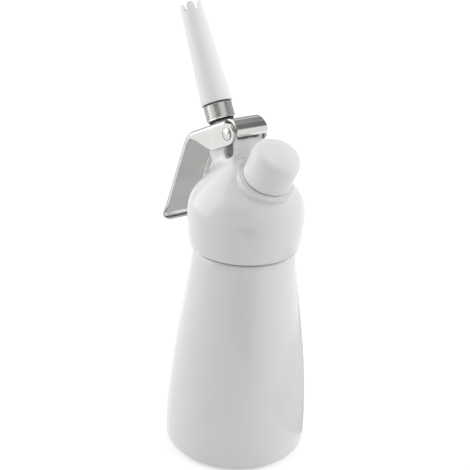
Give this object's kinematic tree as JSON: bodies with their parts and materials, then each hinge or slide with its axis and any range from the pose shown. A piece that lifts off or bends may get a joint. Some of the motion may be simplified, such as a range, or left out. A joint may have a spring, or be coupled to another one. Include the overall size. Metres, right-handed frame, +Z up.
{
  "type": "whipped cream dispenser",
  "caption": "Hand-held cream whipper: white coated metal bottle, screw-on domed head with sprung steel lever, tilted valve with plastic decorating tip, and capped charger inlet.",
  "frame": {"origin": "centre of the bottle's base, in the middle of its dished underside, at the plane it stands on", "axes": "+Z up along the bottle's axis; the lever hangs and the spout leans on the -X side; the charger inlet leans to +X; the lever pin lies along Y"},
  "size_m": [0.0948, 0.072, 0.2185],
  "materials": {
    "white_coat": "gloss",
    "white_plastic": "satin",
    "polished_steel": "polished",
    "satin_steel": "satin",
    "turned_aluminium": "satin",
    "brass": "satin",
    "black_rubber": "matte",
    "white_silicone": "matte"
  },
  "bodies": {
    "bottle": {"bottle": "white_coat"},
    "head_seat": {"head_gasket": "white_silicone"},
    "head": {"head": "white_coat", "stem_bush": "brass", "lower_stem_ring": "black_rubber", "upper_stem_ring": "black_rubber", "return_spring": "satin_steel", "inlet_gasket": "black_rubber", "inlet_nipple": "satin_steel", "piercing_pin": "satin_steel", "pin_seal": "black_rubber", "check_sleeve": "black_rubber"},
    "lever": {"lever": "polished_steel", "lever_pin": "polished_steel"},
    "valve": {"valve_stem": "satin_steel", "valve_seal": "black_rubber", "seal_nut": "satin_steel", "nut_ring": "black_rubber", "knurled_nut": "turned_aluminium"},
    "tip_seat": {"tip_washer": "black_rubber"},
    "tip": {"decorating_tip": "white_plastic"},
    "cap_seat": {"cap_liner": "white_silicone"},
    "cap": {"inlet_cap": "white_plastic"}
  },
  "joints": [
    {"name": "head_lift", "type": "slide", "parent": "bottle", "child": "head_seat", "axis": [0, 0, 1], "range_m": [0, 0.06]},
    {"name": "head_turn", "type": "hinge", "parent": "head_seat", "child": "head", "pos_m": [0, 0, 0.108], "axis": [0, 0, 1], "range_deg": [0, 990]},
    {"name": "lever_squeeze", "type": "hinge", "parent": "head", "child": "lever", "pos_m": [-0.0049, 0, 0.1644], "axis": [0, -1, 0], "range_deg": [0, 11]},
    {"name": "valve_press", "type": "slide", "parent": "head", "child": "valve", "axis": [0.5, 0, -0.866], "range_m": [0, 0.003], "stiffness_N_per_m": 600, "springref_m": -0.001, "deforming": ["return_spring"]},
    {"name": "tip_lift", "type": "slide", "parent": "valve", "child": "tip_seat", "axis": [-0.5, 0, 0.866], "range_m": [0, 0.03]},
    {"name": "tip_turn", "type": "hinge", "parent": "tip_seat", "child": "tip", "pos_m": [0, 0, 0.1246], "axis": [-0.5, 0, 0.866], "range_deg": [0, 1440]},
    {"name": "cap_lift", "type": "slide", "parent": "head", "child": "cap_seat", "axis": [0.454, 0, 0.891], "range_m": [0, 0.03]},
    {"name": "cap_turn", "type": "hinge", "parent": "cap_seat", "child": "cap", "pos_m": [0.0141, 0, 0.1466], "axis": [0.454, 0, 0.891], "range_deg": [0, 1440]}
  ],
  "couplings": [
    {"joint": "lever_squeeze", "follows": "valve_press", "rad_per_m": 63.9}
  ]
}
